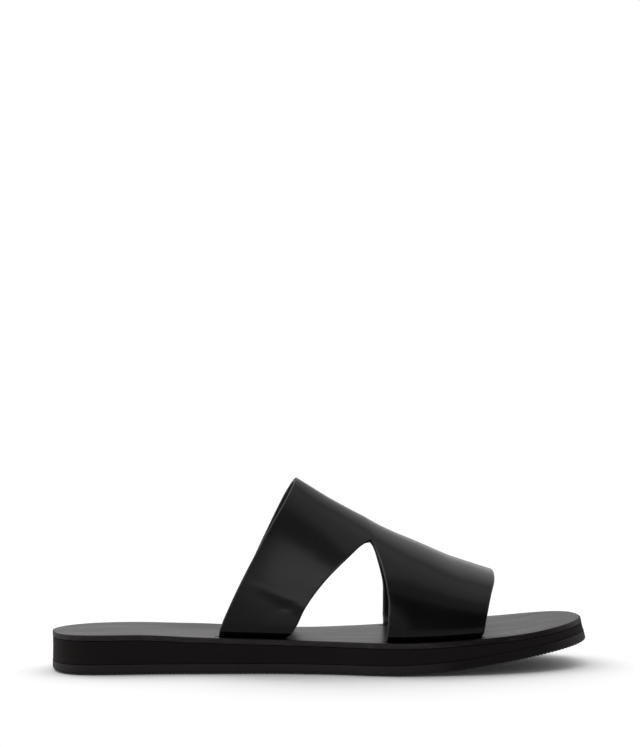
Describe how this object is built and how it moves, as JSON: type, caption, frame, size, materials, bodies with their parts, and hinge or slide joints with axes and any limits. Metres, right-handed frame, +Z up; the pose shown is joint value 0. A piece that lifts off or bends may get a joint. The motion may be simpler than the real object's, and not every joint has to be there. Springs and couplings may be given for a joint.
{
  "type": "slide sandal",
  "caption": "Flat slide sandal with a smooth leather upper, cut out on each side, arched over a leather footbed, a dark midsole and a thin rubber outsole.",
  "frame": {"origin": "below the middle of the sandal's box, on the plane that the outsole stands on", "axes": "+X from the heel to the toe, +Y to the inner (big toe) side of the foot, +Z up"},
  "size_m": [0.2886, 0.1036, 0.1014],
  "materials": {
    "outsole": "matt black rubber with a fine ribbed tread",
    "midsole": "matt black foam rubber",
    "footbed": "dark leather with a fine grain and a faint sheen",
    "upper": "smooth black leather with a soft gloss"
  },
  "bodies": {
    "root": {"outsole": "outsole", "midsole": "midsole", "footbed": "footbed", "upper": "upper"}
  },
  "joints": []
}
